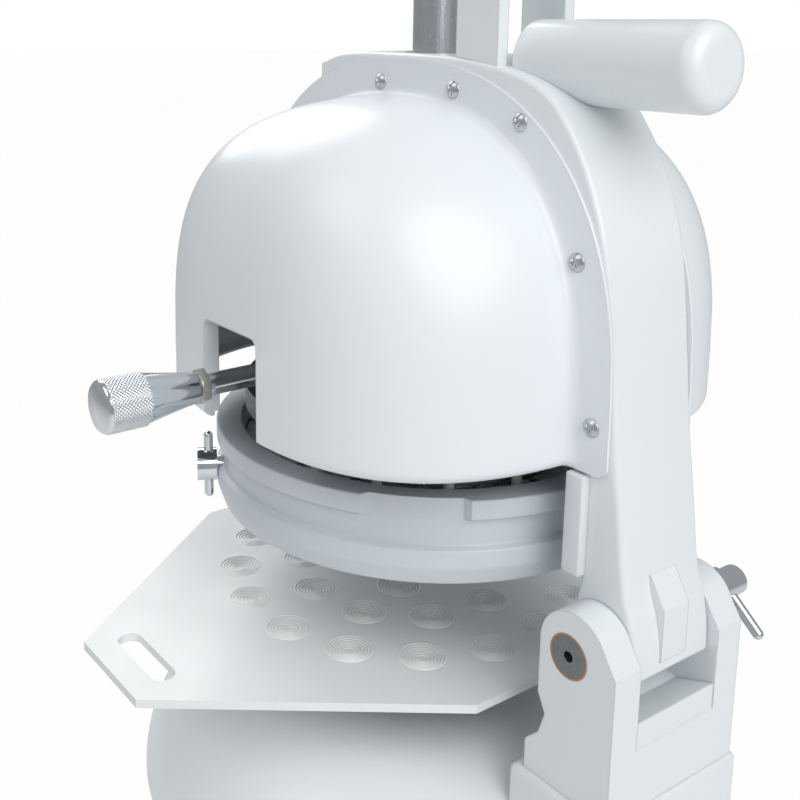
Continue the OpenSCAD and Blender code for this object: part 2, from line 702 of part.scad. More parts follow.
module press_pads() color("#eff0ea") {
  translate([0, 0, pad_top - pad_t]) linear_extrude(pad_t) difference() {
    circle(hoop_r - hoop_t - pad_gap);
    for (r = [mid_blade_r, inner_blade_r]) difference() {
      circle(r + blade_t / 2 + pad_gap);
      circle(r - blade_t / 2 - pad_gap);
    }
    for (a = [0 : 15]) rotate(22.5 * a)
      translate([mid_blade_r, -blade_t / 2 - pad_gap]) square([100, blade_t + 2 * pad_gap]);
    for (a = [0 : 9]) rotate(11.7 + 36 * a)
      translate([inner_blade_r, -blade_t / 2 - pad_gap])
        square([mid_blade_r - inner_blade_r, blade_t + 2 * pad_gap]);
    for (a = [0, 90]) rotate(a + 1) square([2 * inner_blade_r, blade_t + 2 * pad_gap], center = true);
  }
  for (p = stem_places()) translate([p[0], p[1], pad_top - 4])
    cylinder(r = 4, h = die_base + 10 - pad_top + 4, $fn = 24);
}

module press_spindle() color("#c3c8cc") difference() {
  translate([0, 0, die_base]) cylinder(r = spindle_r, h = spindle_pin_z + 12 - die_base);
  bar_x(-40, 0, spindle_pin_z, 6 + fit, 80);
}

module spindle_pin() color("#b4babe") bar_x(-29, 0, spindle_pin_z, 6, 58);

module press_lever() color("#f4f6f7") difference() {
  union() {
    bar_x(-28, pivot_y, pivot_z, 22, 56);
    translate([0, pivot_y, pivot_z]) rotate([90 - lever_angle, 0, 0]) translate([0, 0, 15])
      cylinder(r = lever_r, h = lever_l - 15);
    for (x = [-27, 20]) translate([x, pivot_y, pivot_z]) rotate([-fork_angle, 0, 0])
      translate([0, -118, -17]) cube([7, 106, 34]);
  }
  bar_x(-60, pivot_y, pivot_z, 10 + fit, 120);
  for (x = [-29, 19]) translate([x, pivot_y, pivot_z]) rotate([-fork_angle, 0, 0])
    translate([0, -130, -10]) cube([10, 49, 20]);
}

module press_handle() color("#2b2d2f") translate([0, pivot_y, pivot_z])
  rotate([90 - lever_angle, 0, 0]) difference() {
  translate([0, 0, lever_l - 130]) cylinder(r = lever_r + 5, h = 134);
  translate([0, 0, lever_l - 140]) cylinder(r = lever_r + fit, h = 140);
}

plinth();
cabinet_shell();
service_panel();
panel_screws();
control_box();
start_button();
stop_button();
cable_gland();
motor_plate();
gear_motor();
body_casting();
bearing_housing();
shaft_bearings();
crank_shaft();
rounding_table();
rounding_plate();
hinge_bracket();
bracket_bolts();
hinge_bushes();
hinge_pin();
lock_knob();
lock_bar();
head_arm();
front_rib();
cover_near();
cover_far();
cover_screws();
spindle_bush();
guide_spider();
lever_posts();
lever_pin();
spring_housing();
chamber_ring();
knife_grid();
guide_rods();
handle_rod();
grip_nut();
handle_grip();
clamp_near();
clamp_near_bar();
clamp_far();
clamp_far_bar();
press_die();
press_pads();
press_spindle();
spindle_pin();
press_lever();
press_handle();
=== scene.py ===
# %% [markdown]
# # A dough divider rounder, dressed for the studio
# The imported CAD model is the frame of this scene. It already has every working piece in place, in metres.
# This lesson gives the pieces that the eye meets first a finer surface, worked out with numpy,
# and gives every piece the finish that the real one has.

# %% Load the frame
import json
import math

import bmesh
import bpy
import numpy as np
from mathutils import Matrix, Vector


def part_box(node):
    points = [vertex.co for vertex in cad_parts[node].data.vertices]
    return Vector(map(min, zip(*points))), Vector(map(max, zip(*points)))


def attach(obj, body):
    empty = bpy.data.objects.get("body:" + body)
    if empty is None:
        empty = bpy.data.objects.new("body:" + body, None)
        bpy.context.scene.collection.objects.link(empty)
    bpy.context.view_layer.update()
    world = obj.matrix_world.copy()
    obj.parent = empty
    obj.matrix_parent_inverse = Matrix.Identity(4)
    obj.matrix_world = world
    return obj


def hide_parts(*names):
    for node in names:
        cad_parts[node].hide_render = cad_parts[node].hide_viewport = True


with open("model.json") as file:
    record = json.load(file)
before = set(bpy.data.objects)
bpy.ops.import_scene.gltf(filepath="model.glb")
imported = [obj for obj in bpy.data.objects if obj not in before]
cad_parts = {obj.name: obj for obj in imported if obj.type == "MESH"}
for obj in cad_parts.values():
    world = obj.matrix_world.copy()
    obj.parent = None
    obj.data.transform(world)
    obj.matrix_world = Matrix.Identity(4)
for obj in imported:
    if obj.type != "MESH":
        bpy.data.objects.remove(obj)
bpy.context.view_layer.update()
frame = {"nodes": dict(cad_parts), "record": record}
nodes = frame["nodes"]
MM = 0.001
print("CAD nodes:", len(nodes))

# %% [markdown]
# ## Colours and shader nodes
# Colours are picked as sRGB hex values and Blender's sockets want linear light, so one function converts them.
# A second small function adds a shader node, sets its properties and sockets, and links what is passed as a socket.

# %% Colour and node helpers
def linear(code):
    """sRGB hex to linear RGBA: each channel through the sRGB curve."""
    srgb = np.array([int(code[i:i + 2], 16) for i in (1, 3, 5)]) / 255
    rgb = np.where(srgb <= 0.04045, srgb / 12.92, ((srgb + 0.055) / 1.055) ** 2.4)
    return (*rgb.tolist(), 1.0)


def add(tree, kind, props=None, **sockets):
    """Adds one node; props are its settings, and each socket gets a value or a link. Underscores stand for spaces."""
    new = tree.nodes.new(kind)
    for key, value in (props or {}).items():
        setattr(new, key, value)
    for key, value in sockets.items():
        socket = new.inputs[int(key[1:])] if key[1:].isdigit() else new.inputs[key.replace("_", " ")]
        if isinstance(value, bpy.types.NodeSocket):
            tree.links.new(value, socket)
        else:
            socket.default_value = value
    return new


def new_material(name):
    """An empty material with its tree, its output node and Object coordinates."""
    mat = bpy.data.materials.new(name)
    mat.use_nodes = True
    tree = mat.node_tree
    tree.nodes.clear()
    out = add(tree, "ShaderNodeOutputMaterial")
    place = add(tree, "ShaderNodeTexCoord").outputs["Object"]
    return mat, tree, out, place


print("helpers ready")

# %% [markdown]
# ## Paint, plastic and metal
# Sprayed gloss paint on castings has a faint orange-peel ripple a few millimetres wide, and the edges of a casting are
# soft. A Bevel node rounds the shading of sharp CAD edges by a real radius, and a noise gives the ripple.

# %% Painted finishes
def painted(name, code, rough, ripple_mm, ripple, edge_mm=2.5, coat=0.2):
    """Paint: a soft edge from a Bevel node and an orange-peel noise ripple_mm wide under the gloss."""
    mat, tree, out, place = new_material(name)
    peel = add(tree, "ShaderNodeTexNoise", Vector=place, Scale=1 / (ripple_mm * MM), Detail=2.0)
    edge = add(tree, "ShaderNodeBevel", {"samples": 6}, Radius=edge_mm * MM)
    bump = add(tree, "ShaderNodeBump", Height=peel.outputs["Fac"], Strength=ripple, Distance=0.2 * MM,
               Normal=edge.outputs[0])
    base = add(tree, "ShaderNodeBsdfPrincipled", Base_Color=linear(code), Roughness=rough,
               IOR=1.5, Coat_Weight=coat, Coat_Roughness=0.2, Normal=bump.outputs[0])
    tree.links.new(base.outputs[0], out.inputs["Surface"])
    return mat


# Sprayed gloss on cast iron: bright, with soft wide highlights.
gloss_white = painted("gloss_white_casting_paint", "#e9eef0", 0.3, 3.0, 0.1, edge_mm=2.0)
# Sprayed gloss on drawn aluminium: the smoothest paint, so the clearest highlights.
cover_white = painted("gloss_white_cover_paint", "#ebf0f3", 0.32, 4.0, 0.05, edge_mm=1.5)
# Satin paint on the turned ring: greyer, with spread highlights.
ring_white = painted("satin_white_ring_paint", "#d2d9df", 0.36, 1.2, 0.1, edge_mm=1.0, coat=0.05)
# Satin paint on rough castings and on the motor: dull, with a clear orange peel.
grey_paint = painted("satin_grey_casting_paint", "#6a7075", 0.45, 2.0, 0.3)
motor_paint = painted("satin_blue_motor_paint", "#56697a", 0.4, 1.5, 0.2)
print("painted finishes:", 5)

# %% [markdown]
# Plastic has a fine grain from the mould or the cutter, and handling wears it in slow patches. One noise gives the
# bump and one the roughness. The grain is drawn coarser than a real one, so that it still shows in the picture.

# %% Plastic finishes
def moulded(name, code, rough, grain_mm, depth):
    """Moulded or cut plastic: a fine grain of grain_mm and slow patches of wear."""
    mat, tree, out, place = new_material(name)
    grain = add(tree, "ShaderNodeTexNoise", Vector=place, Scale=1 / (grain_mm * MM), Detail=2.0)
    patch = add(tree, "ShaderNodeTexNoise", Vector=place, Scale=1 / (60 * MM), Detail=4.0)
    wear = add(tree, "ShaderNodeMapRange", Value=patch.outputs["Fac"], From_Min=0.35, From_Max=0.65,
               To_Min=rough * 0.85, To_Max=rough * 1.2)
    bump = add(tree, "ShaderNodeBump", Height=grain.outputs["Fac"], Strength=depth, Distance=0.15 * MM)
    base = add(tree, "ShaderNodeBsdfPrincipled", Base_Color=linear(code), Roughness=wear.outputs[0], IOR=1.52,
               Normal=bump.outputs[0])
    tree.links.new(base.outputs[0], out.inputs["Surface"])
    return mat


# Cut HDPE sheet: milky and satin, faintly worn. The ridge that a turning tool leaves in it is the same plastic,
# painted whiter as a painted highlight for the light that its lip catches.
hdpe = moulded("satin_hdpe_sheet", "#f0f2f2", 0.42, 1.0, 0.2)
hdpe_ridge_painted_highlight = moulded("turned_hdpe_ridge_painted_highlight", "#fbfcfc", 0.35, 1.0, 0.1)
# Moulded polyamide: black with a fine grain. Moulded ABS caps: clear colour and gloss.
black_grip = moulded("black_polyamide", "#232527", 0.45, 0.8, 0.3)
green_cap = moulded("green_abs", "#2f8f4e", 0.25, 1.0, 0.05)
red_cap = moulded("red_abs", "#c3262b", 0.25, 1.0, 0.05)
print("plastic finishes:", 5)

# %% [markdown]
# Metal keeps the marks of the tool that finished it. One noise, drawn long along an axis for brushed and turned
# pieces, bends the reflections and varies their sharpness. Its marks are wider than real ones, so that they show.

# %% Metal finishes
def metal(name, code, rough, mark_mm, stretch, depth, edge_mm=0.6):
    """Metal: marks mark_mm wide drawn long by stretch along one axis, as a tool or a brush leaves them."""
    mat, tree, out, place = new_material(name)
    drawn = add(tree, "ShaderNodeMapping", Vector=place, Scale=stretch)
    marks = add(tree, "ShaderNodeTexNoise", Vector=drawn.outputs[0], Scale=1 / (mark_mm * MM), Detail=3.0)
    shine = add(tree, "ShaderNodeMapRange", Value=marks.outputs["Fac"], From_Min=0.3, From_Max=0.7,
                To_Min=rough * 0.7, To_Max=rough * 1.4)
    edge = add(tree, "ShaderNodeBevel", {"samples": 4}, Radius=edge_mm * MM)
    bump = add(tree, "ShaderNodeBump", Height=marks.outputs["Fac"], Strength=depth, Distance=0.05 * MM,
               Normal=edge.outputs[0])
    base = add(tree, "ShaderNodeBsdfPrincipled", Base_Color=linear(code), Metallic=1.0, Roughness=shine.outputs[0],
               Normal=bump.outputs[0])
    tree.links.new(base.outputs[0], out.inputs["Surface"])
    return mat


# Polished chrome plate: a mirror with faint waves.
chrome = metal("polished_chrome_plate", "#dfe2e5", 0.06, 30.0, (1, 1, 1), 0.02)
# Brushed stainless: satin, with upright streaks. Turned steel: a little duller, with streaks along X.
stainless = metal("brushed_stainless_steel", "#c6cacd", 0.26, 1.0, (1, 1, 0.1), 0.2)
turned = metal("turned_steel", "#b4b8bb", 0.28, 1.0, (0.1, 1, 1), 0.3)
# Zinc plate: pale and a little yellow. Bronze: warm and dull. Machined aluminium: light and satin.
zinc = metal("yellow_zinc_plate", "#c4c1b6", 0.2, 4.0, (1, 1, 1), 0.05)
bronze = metal("bearing_bronze", "#c48a5a", 0.35, 1.0, (1, 1, 1), 0.2)
aluminium = metal("machined_aluminium", "#c4c8cb", 0.32, 1.2, (1, 1, 0.2), 0.2)
# Cast aluminium of the press die: mid grey, darkened further as painted shade for the dark band along its side.
# Worn steel: mid grey. Both with blurred reflections.
die_grey_with_painted_shade = metal("cast_aluminium_darkened_as_painted_shade", "#85898c", 0.42, 2.0, (1, 1, 1), 0.3)
pin_grey = metal("worn_steel", "#85898c", 0.42, 2.0, (1, 1, 1), 0.3)
print("metal finishes:", 8)

# %% [markdown]
# ## Finishes on the CAD pieces
# A CAD node keeps its mesh. Only its material changes, picked by the slot that the record gives it. The press die
# and the hinge pin are duller than the rest of their slots, and the die's grey is also darkened as painted shade.

# %% Paint the CAD nodes
SLOT_FINISH = {
    "painted_iron": gloss_white, "painted_steel": gloss_white, "grey_iron": grey_paint, "steel": turned,
    "stainless": stainless, "chrome": chrome, "zinc": zinc, "bronze": bronze, "hdpe": hdpe, "aluminium": aluminium,
    "painted_aluminium": ring_white, "motor_blue": motor_paint, "black_plastic": black_grip,
    "green_plastic": green_cap, "red_plastic": red_cap,
}
for part in frame["record"]["subparts"]:
    mesh = nodes[part["node"]].data
    mesh.materials.clear()
    mesh.materials.append(SLOT_FINISH[part["material_slot"]])
# The die's darker grey is partly its own metal and partly painted shade for the dark band along its side.
nodes["press_die"].data.materials[0] = die_grey_with_painted_shade
nodes["hinge_pin"].data.materials[0] = pin_grey

# %% [markdown]
# ## Grids into meshes
# Each new piece is a grid of points. Rows and columns become quads in one array operation, with the grid closed on
# itself where the shape is round, and the finished piece is tied to the body that carries it.

# %% Grid helpers
def grid_faces(rows, cols, wrap_rows=False, wrap_cols=False):
    """Quads of a rows x cols grid: each point with its right, diagonal and lower neighbour, modulo where it wraps."""
    i, j = np.meshgrid(np.arange(rows - (not wrap_rows)), np.arange(cols - (not wrap_cols)), indexing="ij")
    i2, j2 = (i + 1) % rows, (j + 1) % cols
    return np.stack([i * cols + j, i * cols + j2, i2 * cols + j2, i2 * cols + j], -1).reshape(-1, 4)


def make_mesh(name, sheets, sharp_deg=40):
    """One mesh from (points, wrap_rows, wrap_cols) sheets, smooth below sharp_deg. A fourth item caps the end rows."""
    points, faces, start = [], [], 0
    for grid, wrap_rows, wrap_cols, *capped in sheets:
        rows, cols = grid.shape[:2]
        points.append(grid.reshape(-1, 3))
        faces += (grid_faces(rows, cols, wrap_rows, wrap_cols) + start).tolist()
        if capped:
            last = start + (rows - 1) * cols
            faces += [list(range(start, start + cols)), list(range(last, last + cols))]
        start += rows * cols
    mesh = bpy.data.meshes.new(name)
    mesh.from_pydata(np.concatenate(points).tolist(), [], faces)
    shape = bmesh.new()
    shape.from_mesh(mesh)
    bmesh.ops.remove_doubles(shape, verts=shape.verts, dist=1e-6)
    bmesh.ops.dissolve_degenerate(shape, edges=shape.edges, dist=1e-7)
    bmesh.ops.recalc_face_normals(shape, faces=shape.faces)
    shape.to_mesh(mesh)
    shape.free()
    mesh.shade_smooth()
    mesh.set_sharp_from_angle(angle=math.radians(sharp_deg))
    return mesh


def worked(name, mesh, wall=0.0, join=(), cut=()):
    """The mesh given its wall by Solidify, then other solids joined on and cut out by Boolean, all of it applied."""
    base = bpy.data.objects.new(name + "_blank", mesh)
    bpy.context.collection.objects.link(base)
    if wall:
        sheet = base.modifiers.new("wall", "SOLIDIFY")
        sheet.thickness, sheet.offset, sheet.use_even_offset = wall, -1.0, True
    tools = []
    for operation, tool_mesh in [("UNION", m) for m in join] + [("DIFFERENCE", m) for m in cut]:
        tools.append(bpy.data.objects.new(tool_mesh.name, tool_mesh))
        bpy.context.collection.objects.link(tools[-1])
        step = base.modifiers.new(operation.lower(), "BOOLEAN")
        step.operation, step.object, step.solver = operation, tools[-1], "EXACT"
    bpy.context.view_layer.update()
    done = bpy.data.meshes.new_from_object(base.evaluated_get(bpy.context.evaluated_depsgraph_get()))
    for spent in (base, *tools):
        bpy.data.objects.remove(spent)
    done.name = name
    done.shade_smooth()
    done.set_sharp_from_angle(angle=math.radians(35))
    return done


def put(name, mesh, finish, body, slot, *stands_for):
    """Links the piece at the origin, gives it its finish, and ties it to the body that carries it."""
    mesh.materials.clear()
    mesh.materials.append(finish)
    piece = bpy.data.objects.new(name, mesh)
    bpy.context.collection.objects.link(piece)
    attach(piece, body)
    if stands_for:
        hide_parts(*stands_for)
    print(f"{name}: {len(mesh.polygons)} faces on {body}")
    return piece


def lathe(profile, turns=128):
    """Profile of (radius, height) pairs swept round +Z: x = r cos a, y = r sin a, z = height, as a grid closed in a."""
    profile = np.asarray(profile, float)
    a = np.linspace(0, 2 * np.pi, turns, endpoint=False)
    r, h = profile[:, :1], profile[:, 1:]
    return np.stack([r * np.cos(a), r * np.sin(a), h + 0 * a], -1)


def rounded_profile(corners, radius, steps=4):
    """Corners of a profile, each replaced by an arc of about the given radius: a quadratic curve from edge to edge."""
    c = np.asarray(corners, float)
    before, after = c[:-2] - c[1:-1], c[2:] - c[1:-1]
    lb, la = np.linalg.norm(before, axis=1, keepdims=True), np.linalg.norm(after, axis=1, keepdims=True)
    cut = np.minimum(radius, 0.45 * np.minimum(lb, la))
    t = np.linspace(0, 1, steps + 1)[None, :, None]
    start, end = (c[1:-1] + before / lb * cut)[:, None], (c[1:-1] + after / la * cut)[:, None]
    curve = (1 - t) ** 2 * start + 2 * t * (1 - t) * c[1:-1, None] + t ** 2 * end
    return np.concatenate([c[:1], curve.reshape(-1, 2), c[-1:]])


print("grid helpers ready")

# %% [markdown]
# ## Dome covers
# Each cover is a deep-drawn half dome with a plan between a circle and a square, a softly rolled rim, and a flat
# screwed flange on the arm's side. A superellipse gives both the plan and the shoulder: x = a cos(t)^(2/n) and
# y = b sin(t)^(2/n).
# The sheet ends in a small concave fillet that turns it into the flange, and Solidify gives the wall.

# %% Dome cover surface
ring_low, ring_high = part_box("chamber_ring")
BLOCK_SIDE = 7 * MM
ARM_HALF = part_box("head_arm")[1].x - BLOCK_SIDE
DOME_Y = 12 * MM
SIDE, DEPTH = 208 * MM, 194 * MM
PLAN_POWER, SHOULDER_POWER, BACK_POWER = 2.85, 3.6, 2.45
RIM_Z, WALL_Z, CROWN = ring_high.z + 30.5 * MM, ring_high.z + 72 * MM, 206 * MM
FILLET, FLANGE_W, SHEET = 8 * MM, 30 * MM, 3 * MM
FLANGE_X = ARM_HALF + SHEET
ROLL = 9 * MM
UPRIGHT_ROWS, EDGE_SPREAD = 8, 0.9


def cover_levels(rows=44):
    """Height, half width along X and half depth along Y of each level, from the rolled rim to the pole by the arm."""
    roll = np.linspace(np.pi / 2, 0, 7)
    low_z = RIM_Z + ROLL * (1 - np.sin(roll))
    low_in = ROLL * (1 - np.cos(roll))
    wall_z = np.linspace(RIM_Z + ROLL, WALL_Z, 6)[1:]
    pole = (FLANGE_X + FILLET) / SIDE
    t_end = math.acos(pole ** (SHOULDER_POWER / 2))
    t = t_end * np.sin(np.linspace(0, np.pi / 2, rows))[1:]
    crown_z = WALL_Z + CROWN * np.sin(t) ** (2 / SHOULDER_POWER)
    side = SIDE * np.cos(t) ** (2 / SHOULDER_POWER)
    back = DEPTH * (1 - ((crown_z - WALL_Z) / CROWN) ** BACK_POWER) ** (1 / BACK_POWER)
    z = np.concatenate([low_z, wall_z, crown_z])
    a = np.concatenate([SIDE - low_in, np.full(len(wall_z), SIDE), side])
    b = np.concatenate([DEPTH - low_in, np.full(len(wall_z), DEPTH), back])
    return z, a, b


def cover_grid(cols=96):
    """Superellipse plan at every level, then on both edges a fillet out along the section's normal, and the flange."""
    z, a, b = cover_levels()
    p_end = np.arccos(np.clip(((FLANGE_X + FILLET) / a) ** (PLAN_POWER / 2), 0, 1))
    s = np.linspace(-1, 1, cols)
    p = p_end[:, None] * np.sign(s) * np.abs(s) ** EDGE_SPREAD
    x = a[:, None] * np.cos(p) ** (2 / PLAN_POWER)
    y = DOME_Y + b[:, None] * np.sign(p) * np.abs(np.sin(p)) ** (2 / PLAN_POWER)
    body = np.stack([x, y, z[:, None] + 0 * x], -1)

    def skirt(edge, sign):
        """Fillet and flange outside one edge: the edge moved along the outward normal of its (y, z) section."""
        dy, dz = np.gradient(edge[:, 1]), np.gradient(edge[:, 2])
        normal = np.stack([sign * dz, -sign * dy], -1)
        normal[:UPRIGHT_ROWS] = (sign, 0)
        normal /= np.linalg.norm(normal, axis=1, keepdims=True)
        turn = np.linspace(0, np.pi / 2, 7)[1:]
        out = np.concatenate([FILLET * (1 - np.cos(turn)), [FILLET + 6 * MM, FLANGE_W - 1 * MM, FLANGE_W]])
        back = np.concatenate([FILLET * np.sin(turn), [FILLET] * 3])
        grid = np.repeat(edge[:, None], len(out), axis=1)
        grid[..., 0] -= back
        grid[..., 1:] += normal[:, None] * out[None, :, None]
        return grid

    rear, front = skirt(body[:, -1], 1.0), skirt(body[:, 0], -1.0)
    return np.concatenate([front[:, ::-1], body, rear], axis=1)


near_grid = cover_grid()
print("cover grid", near_grid.shape, "depth mm", round(np.ptp(near_grid[..., 1]) / MM, 1))

# %% [markdown]
# The chrome handle leaves the near cover through an upright slot that is open at the rim. A rounded cutter makes it,
# after the sheet has its wall, and the cutter is then thrown away. The slot's edge is turned in, which gives the thick
# border that catches the light.

# %% Cover slot and both covers
SLOT_Y, SLOT_HALF, SLOT_TOP, SLOT_R = DOME_Y, 38 * MM, RIM_Z + 82 * MM, 8 * MM
CUT_FROM, CUT_TO, CUT_BELOW = 120 * MM, 260 * MM, 20 * MM
LIP_LAP, LIP_FOOT, LIP_SINK, LIP_BACK = 1 * MM, 4 * MM, 0.6 * MM, 2 * MM


def slot_outline(grow=0.0, steps=8):
    """Upside-down U of the slot as (y, z): up one side, round both upper corners by quarter circles, down the other."""
    q = np.linspace(0, np.pi / 2, steps)
    half, r = SLOT_HALF + grow, SLOT_R + grow
    left = np.stack([-(half - r) - r * np.cos(q), SLOT_TOP + grow - r + r * np.sin(q)], -1)
    right = left[::-1] * [-1, 1]
    foot = RIM_Z - CUT_BELOW
    return np.concatenate([[[-half, foot]], left, right, [[half, foot]]]) + [SLOT_Y, 0]


outline = slot_outline()
tunnel = np.stack([np.column_stack([np.full(len(outline), x), outline]) for x in (CUT_FROM, CUT_TO)])
cutter = make_mesh("slot_cutter", [(tunnel, False, True, "capped")])
near_sheet = make_mesh("cover_near_sheet", [(near_grid, False, False)])
far_sheet = make_mesh("cover_far_sheet", [(near_grid * [-1, 1, 1], False, False)])
put("cover_near_skin", worked("cover_near_skin", near_sheet, wall=SHEET, cut=[cutter]), cover_white, "head",
    "painted_aluminium", "cover_near")
put("cover_far_skin", worked("cover_far_skin", far_sheet, wall=SHEET), cover_white, "head", "painted_aluminium",
    "cover_far")


def slot_lip(depth=13 * MM, wall=2.5 * MM):
    """The turned-in border: the slot's outline on the cover's face, carried inwards along X, with a wall outside it."""
    inner, outer = slot_outline(-LIP_LAP), slot_outline(wall)
    inner[[0, -1], 1] = outer[[0, -1], 1] = RIM_Z + LIP_FOOT

    def face_x(yz):
        """The cover's face: its half width, narrowed by the shoulder's superellipse and by the plan's."""
        b = np.abs((yz[:, 0] - DOME_Y) / DEPTH)
        z = np.clip((yz[:, 1] - WALL_Z) / CROWN, 0, 1)
        return SIDE * (1 - z ** SHOULDER_POWER) ** (1 / SHOULDER_POWER) * (1 - b ** PLAN_POWER) ** (1 / PLAN_POWER)

    front = face_x(inner) - LIP_SINK
    rows = [np.column_stack([front, inner]), np.column_stack([front - depth, inner]),
            np.column_stack([front - depth, outer]), np.column_stack([front - LIP_BACK, outer])]
    return np.stack(rows)


put("cover_slot_lip", make_mesh("cover_slot_lip", [(slot_lip(), True, False)]), cover_white, "head",
    "painted_aluminium")

# %% [markdown]
# ## Cast arm
# The arm is a thick curved casting with soft edges. Stations along it name a point of its outer edge and one of its
# inner edge. A smooth curve runs through them, and a rounded rectangle between each pair makes the solid. The hinge
# boss, the guide block ahead of the arm and the stop pad behind it are joined on. Seats for the pin, the bush and the
# spring housing are cut.

# %% Arm curve
PLATE_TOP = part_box("rounding_plate")[1].z
BOSS_R, BOSS_AT = 30 * MM, (0, 232 * MM, PLATE_TOP + 64 * MM)
# Outer y and height, then inner y and height, in mm above the plate.
ARM_STATIONS = [(266, 50, 206, 50), (265, 70, 208, 70), (261, 90, 212, 90), (253.5, 113, 215, 112),
                (246, 164, 215, 160), (238, 215, 208, 205), (232, 266, 184, 245), (222, 338, 170, 290),
                (205, 388, 158, 322), (185, 422, 146, 342), (162, 446, 128, 360), (128, 459, 108, 369),
                (80, 466, 72, 374), (40, 468, 40, 375), (-60, 468, -60, 375), (-100, 460, -100, 375)]


def flowing(points, steps=8):
    """Catmull-Rom curve: between two points a cubic, its slope at each of them half the step between its neighbours."""
    p = np.asarray(points, float)
    p = np.concatenate([2 * p[:1] - p[1:2], p, 2 * p[-1:] - p[-2:-1]])
    t = np.linspace(0, 1, steps, endpoint=False)[None, :, None]
    a, b, c, d = (p[i:len(p) - 3 + i, None] for i in range(4))
    curve = 0.5 * (2 * b + (c - a) * t + (2 * a - 5 * b + 4 * c - d) * t ** 2 + (3 * b - a - 3 * c + d) * t ** 3)
    return np.concatenate([curve.reshape(-1, p.shape[1]), p[-2:-1]])


def arm_grid(edge=4 * MM, steps=5):
    """Rounded rectangle at every station: its corners are quarter circles, s runs from the inner to the outer edge."""
    path = flowing(ARM_STATIONS) * MM
    outer, inner = path[:, :2], path[:, 2:]
    width = np.linalg.norm(outer - inner, axis=1)[:, None]
    quarter = np.linspace(0, np.pi / 2, steps)
    turn = np.concatenate([quarter + k * np.pi / 2 for k in range(4)])
    s = edge + np.repeat([1, 0, 0, 1], steps) * (width - 2 * edge) + edge * np.cos(turn)
    x = np.repeat([1, 1, -1, -1], steps) * (ARM_HALF - edge) + edge * np.sin(turn)
    side = inner[:, None] + (outer - inner)[:, None] * (s / width)[..., None]
    return np.concatenate([(x + 0 * s)[..., None], side], -1) + [0, 0, PLATE_TOP]


print("arm stations:", len(ARM_STATIONS))

# %% [markdown]
# What is joined to a casting is a soft-edged box or an eased prism, and what is cut from it is a plain cylinder round
# the CAD piece that sits there, a tenth of a millimetre wider.

# %% Boxes, prisms and seats
def soft_box(low_mm, high_mm, edge_mm, steps=5):
    """Box with rounded edges, heights above the plate: a rounded rectangle whose corner arcs shrink at both ends."""
    low, high, edge = np.array(low_mm) * MM, np.array(high_mm) * MM, edge_mm * MM
    mid, half = (low + high) / 2, (high - low) / 2
    quarter = np.linspace(0, np.pi / 2, steps)
    turn = np.concatenate([quarter + k * np.pi / 2 for k in range(4)])
    radius = np.concatenate([np.sin(quarter), np.sin(quarter[::-1])])[:, None] * edge * 0.98 + 0.02 * edge
    x = np.repeat([1, -1, -1, 1], steps) * (half[0] - edge) + radius * np.cos(turn)
    y = np.repeat([1, 1, -1, -1], steps) * (half[1] - edge) + radius * np.sin(turn)
    z = np.concatenate([-half[2] + edge * (1 - np.cos(quarter)), (half[2] - edge * (1 - np.cos(quarter)))[::-1]])
    return np.stack([x, y, z[:, None] + 0 * x], -1) + mid + [0, 0, PLATE_TOP]


PRISM_EASE, SEAT_GAP = 1.5, 0.1 * MM


def prism(side_mm, low_x, high_x):
    """A side view of (y, height above the plate) corners, each one eased, carried along X from low_x to high_x."""
    side = rounded_profile([*side_mm, side_mm[0]], PRISM_EASE) * MM + [0, PLATE_TOP]
    return np.stack([np.column_stack([np.full(len(side), x * MM), side]) for x in (low_x, high_x)])


def seat(name, order, reach=0.0):
    """A cutter round a CAD node: its box gives radius, axis and length; order turns the lathe's axis to the node's."""
    low, high = (np.array(corner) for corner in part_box(name))
    mid, half = (low + high) / 2, (high - low) / 2
    axis = order.index(2)
    radius, length = min(np.delete(half, axis)) + SEAT_GAP, half[axis] + reach
    tube = lathe([(0, -length), (radius, -length), (radius, length), (0, length)], 96)
    return make_mesh(name + "_seat", [(tube[..., order] + mid, False, True)])


print("boxes, prisms and seats ready")

# %% Arm with boss, guide block and stop pad
STOP_PAD, PAD_FROM, PAD_TO = [(236, 118), (254, 118), (267, 96), (267, 57), (236, 57)], -13, 14
BLOCK_LOW, BLOCK_HIGH, BLOCK_EDGE = (203, 111), (219, 186), 1.5
BUSH_REACH, BOSS_EDGE = 5 * MM, 4 * MM
boss = lathe(rounded_profile([(0, -ARM_HALF), (BOSS_R, -ARM_HALF), (BOSS_R, ARM_HALF), (0, ARM_HALF)], BOSS_EDGE), 96)
block_half = (ARM_HALF + BLOCK_SIDE) / MM
guide_block = soft_box((-block_half, *BLOCK_LOW), (block_half, *BLOCK_HIGH), BLOCK_EDGE)
arm = worked("smooth_arm", make_mesh("arm_blank", [(arm_grid(), False, True, "capped")]),
             join=[make_mesh("hinge_boss", [(boss[..., [2, 0, 1]] + BOSS_AT, False, True)]),
                   make_mesh("guide_block", [(guide_block, False, True, "capped")]),
                   make_mesh("stop_pad", [(prism(STOP_PAD, PAD_FROM, PAD_TO), False, True, "capped")])],
             cut=[seat("hinge_pin", [2, 0, 1]), seat("spindle_bush", [0, 1, 2], BUSH_REACH),
                  seat("spring_housing", [0, 2, 1])])
put("smooth_arm", arm, gloss_white, "head", "painted_iron", "head_arm")

# %% [markdown]
# Between the bracket's two ears the casting rises to a sloping saddle under the arm's end. It is a short wedge, carried
# across from ear to ear.

# %% Bracket saddle
SADDLE, SADDLE_HALF = [(240, 0), (240, 12), (272.6, 24), (272.6, 0)], 42
saddle = make_mesh("bracket_saddle", [(prism(SADDLE, -SADDLE_HALF, SADDLE_HALF), False, True, "capped")])
put("bracket_saddle", saddle, gloss_white, "base", "painted_iron")

